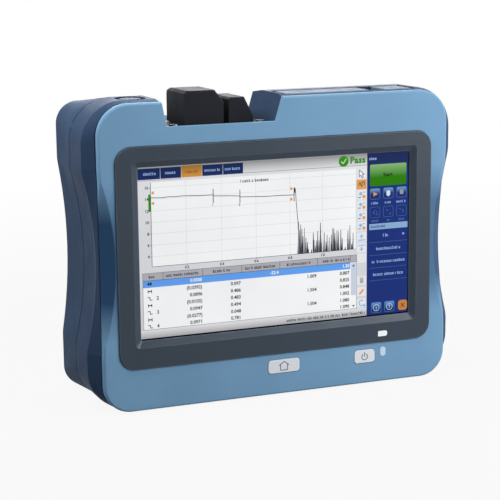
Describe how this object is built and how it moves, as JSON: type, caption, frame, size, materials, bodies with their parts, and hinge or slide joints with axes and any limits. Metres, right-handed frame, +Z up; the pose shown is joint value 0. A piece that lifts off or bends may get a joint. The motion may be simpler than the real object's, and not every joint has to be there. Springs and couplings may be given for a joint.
{
  "type": "optical time domain reflectometer",
  "caption": "Handheld fibre-optic tester with a wide touch screen, waisted three-shell case, capped optical ports, lidded sockets and a folding rear stand.",
  "frame": {"origin": "centre of the bounding box on the surface that the base stands on", "axes": "+X to the user's right, the screen faces -Y, +Z up"},
  "size_m": [0.206, 0.066, 0.1618],
  "materials": {
    "shell_blue": "fine satin texture, pale blue",
    "shell_slate": "fine satin texture, slate blue",
    "shell_slate_rear": "fine satin texture, slate blue",
    "bezel_grey": "fine matt texture, dark grey",
    "touch_glass": "smooth hard-coated film over the display",
    "lcd_metal": "plain metal frame",
    "key_grey": "pale grey silicone keys",
    "light_pipe": "clear moulded light pipe",
    "circuit_board": "green solder mask",
    "switch_metal": "plain",
    "port_black": "black moulded plate",
    "bright_screw": "bright zinc plate",
    "port_metal": "nickel plate, turned",
    "ferrule_ceramic": "polished ceramic",
    "cap_black": "matt black moulded",
    "pin_steel": "ground pin",
    "meter_cap_grey": "soft grey rubber",
    "door_grey": "soft slate-grey flap",
    "socket_metal": "stamped shell",
    "socket_black": "moulded",
    "chassis_metal": "plain sheet",
    "module_metal": "plain casting",
    "battery_shell": null,
    "stand_slate": "fine satin texture",
    "foot_rubber": "matt"
  },
  "bodies": {
    "case": {"battery_cover": "shell_slate_rear", "battery_pack": "battery_shell", "board_screws": "bright_screw", "board_standoffs": "switch_metal", "case_screws": "bright_screw", "chassis_plate": "chassis_metal", "cover_screws": "bright_screw", "data_door_pin": "pin_steel", "dc_door_pin": "pin_steel", "dc_jack": "socket_black", "dc_jack_pin": "pin_steel", "front_shell": "shell_blue", "hinge_ears": "port_black", "key_board": "circuit_board", "key_switches": "switch_metal", "lan_socket": "socket_metal", "lcd_module": "lcd_metal", "main_board": "circuit_board", "main_cap_pin": "pin_steel", "main_port_adapter": "port_metal", "main_port_sleeve": "ferrule_ceramic", "meter_port": "port_metal", "mid_housing": "shell_slate", "optical_module": "module_metal", "panel_screws": "bright_screw", "port_panel": "port_black", "processor_shield": "module_metal", "rear_shell": "shell_slate_rear", "rubber_feet": "foot_rubber", "screen_bezel": "bezel_grey", "side_cap_pin": "pin_steel", "side_port_adapter": "port_metal", "side_port_sleeve": "ferrule_ceramic", "stand_pins": "pin_steel", "status_light": "light_pipe", "touch_panel": "touch_glass", "usb_socket_a": "socket_metal", "usb_socket_b": "socket_metal"},
    "home_key": {"home_button": "key_grey"},
    "power_key": {"power_button": "key_grey"},
    "main_cap": {"main_cap": "cap_black"},
    "side_cap": {"side_cap": "cap_black"},
    "meter_cap": {"meter_cap": "meter_cap_grey"},
    "data_door": {"data_door": "door_grey"},
    "dc_door": {"dc_door": "door_grey"},
    "stand": {"kickstand": "stand_slate"}
  },
  "joints": [
    {"name": "home_press", "type": "slide", "parent": "case", "child": "home_key", "axis": [0, 1, 0], "range_m": [0, 0.0006], "stiffness_N_per_m": 500, "springref_m": -0.0006},
    {"name": "power_press", "type": "slide", "parent": "case", "child": "power_key", "axis": [0, 1, 0], "range_m": [0, 0.0006], "stiffness_N_per_m": 500, "springref_m": -0.0006},
    {"name": "main_cap_hinge", "type": "hinge", "parent": "case", "child": "main_cap", "pos_m": [-0.0382, 0.0068, 0.1476], "axis": [-1, 0, 0], "range_deg": [0, 100]},
    {"name": "side_cap_hinge", "type": "hinge", "parent": "case", "child": "side_cap", "pos_m": [-0.0181, 0.0068, 0.1476], "axis": [-1, 0, 0], "range_deg": [0, 100]},
    {"name": "meter_cap_pull", "type": "slide", "parent": "case", "child": "meter_cap", "axis": [0, 0, 1], "range_m": [0, 0.03]},
    {"name": "data_door_hinge", "type": "hinge", "parent": "case", "child": "data_door", "pos_m": [0.0533, -0.01775, 0.1569], "axis": [0, 1, 0], "range_deg": [0, 100]},
    {"name": "dc_door_hinge", "type": "hinge", "parent": "case", "child": "dc_door", "pos_m": [0.0778, -0.01775, 0.1569], "axis": [0, 1, 0], "range_deg": [0, 100]},
    {"name": "stand_hinge", "type": "hinge", "parent": "case", "child": "stand", "pos_m": [0, 0.0305, 0.068], "axis": [1, 0, 0], "range_deg": [0, 35]}
  ]
}
